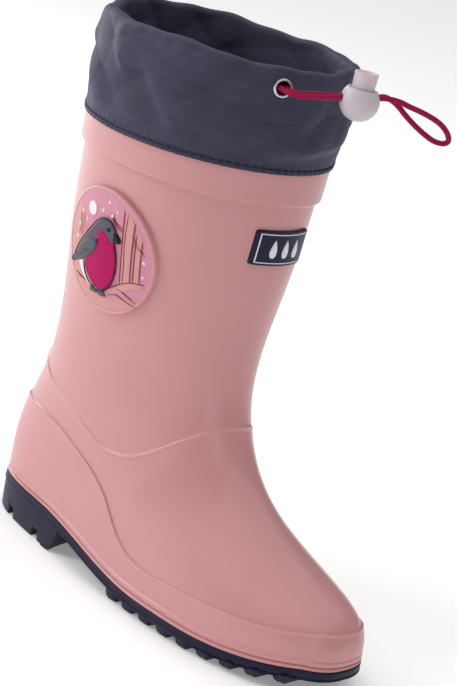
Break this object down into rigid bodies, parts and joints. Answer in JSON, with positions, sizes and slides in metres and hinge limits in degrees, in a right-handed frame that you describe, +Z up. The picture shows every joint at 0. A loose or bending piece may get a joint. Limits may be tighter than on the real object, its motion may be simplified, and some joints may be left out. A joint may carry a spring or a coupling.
{
  "type": "rain boot",
  "caption": "Child's moulded rain boot with a lugged outsole, a drawstring fabric cuff, a ball cord lock and a moulded patch and badge.",
  "frame": {"origin": "centre of the heel's flat rest pad, on the ground", "axes": "+X towards the toe, +Y towards the wearer's left, which is this right boot's inner side, +Z up the shaft"},
  "size_m": [0.2145, 0.1066, 0.2582],
  "materials": {
    "shell_pvc": "moulded, soft gloss",
    "lining_knit": "knitted",
    "insole_foam": "foam with knitted cover",
    "outsole_rubber": "moulded, satin",
    "cuff_nylon": "plain woven nylon, coated",
    "plated_brass": "nickel plated",
    "elastic_cord": "braided round elastic",
    "lock_plastic": "translucent, moulded",
    "spring_steel": "drawn wire",
    "badge_navy": "moulded",
    "badge_white": "moulded, raised",
    "patch_ground": "moulded",
    "patch_white": "moulded, raised",
    "patch_charcoal": "moulded, raised",
    "patch_magenta": "moulded, raised",
    "patch_bark": "moulded, raised"
  },
  "bodies": {
    "boot": {"boot_shell": "shell_pvc", "sock_lining": "lining_knit", "insole": "insole_foam", "outsole": "outsole_rubber", "cuff_fabric": "cuff_nylon", "eyelet": "plated_brass", "eyelet_washer": "plated_brass", "drawcord_channel": "elastic_cord", "badge_base": "badge_navy", "badge_frame": "badge_white", "badge_drop_left": "badge_white", "badge_drop_centre": "badge_white", "badge_drop_right": "badge_white", "patch_disc": "patch_ground", "patch_moon": "patch_white", "patch_bird_back": "patch_charcoal", "patch_bird_breast": "patch_magenta", "patch_bird_belly": "patch_white", "patch_bird_beak": "patch_charcoal", "patch_branch": "patch_bark", "patch_tree_near": "patch_bark", "patch_tree_far": "patch_bark", "patch_snow_bank": "patch_ground", "patch_snow_1": "patch_white", "patch_snow_2": "patch_white", "patch_snow_3": "patch_white", "patch_snow_4": "patch_white", "patch_snow_5": "patch_white", "patch_snow_6": "patch_white", "patch_snow_7": "patch_white", "patch_snow_8": "patch_white", "patch_snow_9": "patch_white", "patch_snow_10": "patch_white"},
    "drawcord": {"drawcord_loop": "elastic_cord"},
    "cord_lock": {"cord_lock_body": "lock_plastic", "cord_lock_spring": "spring_steel"},
    "lock_button": {"cord_lock_button": "lock_plastic"}
  },
  "joints": [
    {"name": "drawcord_swing", "type": "hinge", "parent": "boot", "child": "drawcord", "pos_m": [0.08751, -0.02375, 0.243], "axis": [0.8759, -0.4825, 0], "range_deg": [-50, 30], "stiffness_Nm_per_rad": 0.03},
    {"name": "cord_lock_slide", "type": "slide", "parent": "drawcord", "child": "cord_lock", "axis": [0.6173, 0.7665, 0.1772], "range_m": [-0.01, 0.002]},
    {"name": "lock_button_press", "type": "slide", "parent": "cord_lock", "child": "lock_button", "axis": [0, 0, -1], "range_m": [0, 0.0025], "stiffness_N_per_m": 400, "springref_m": -0.002, "deforming": ["cord_lock_spring"]}
  ]
}
